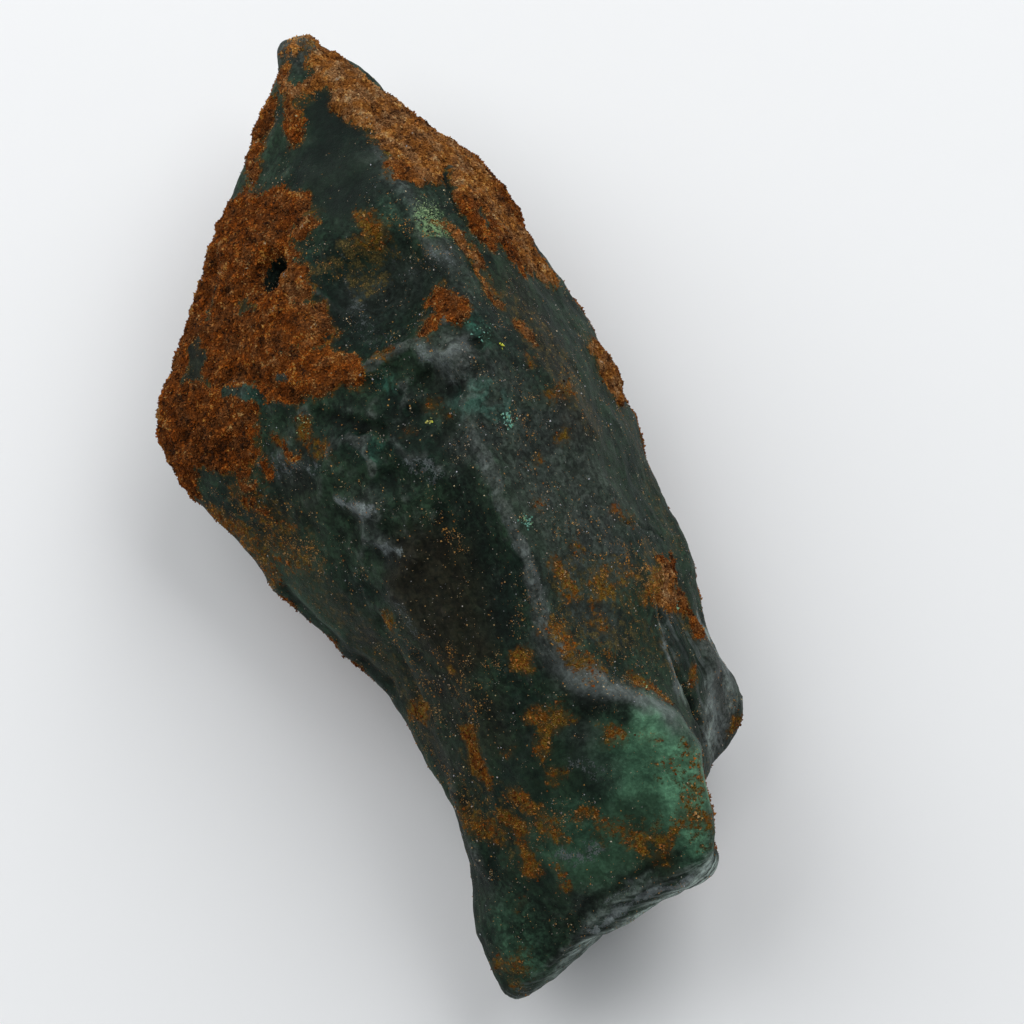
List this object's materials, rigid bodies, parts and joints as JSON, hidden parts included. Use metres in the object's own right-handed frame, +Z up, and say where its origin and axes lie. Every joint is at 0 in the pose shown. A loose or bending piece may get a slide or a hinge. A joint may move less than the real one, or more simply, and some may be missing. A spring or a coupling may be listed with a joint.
{
  "type": "raw emerald",
  "caption": "Rough dark green emerald: a pointed, wide-shouldered lump with a narrow waist, a broken end and patches of orange-brown earthy crust, lying flat.",
  "frame": {"origin": "under the middle of the box that the stone fits in, on the surface that it rests on", "axes": "+Z up, +Y along the stone towards its pointed tip, +X to the right as seen from above with the tip away"},
  "size_m": [0.0444, 0.093, 0.0319],
  "materials": {
    "emerald": "satin",
    "earth_crust": "matte"
  },
  "bodies": {
    "root": {"raw_emerald": "emerald"}
  },
  "joints": []
}
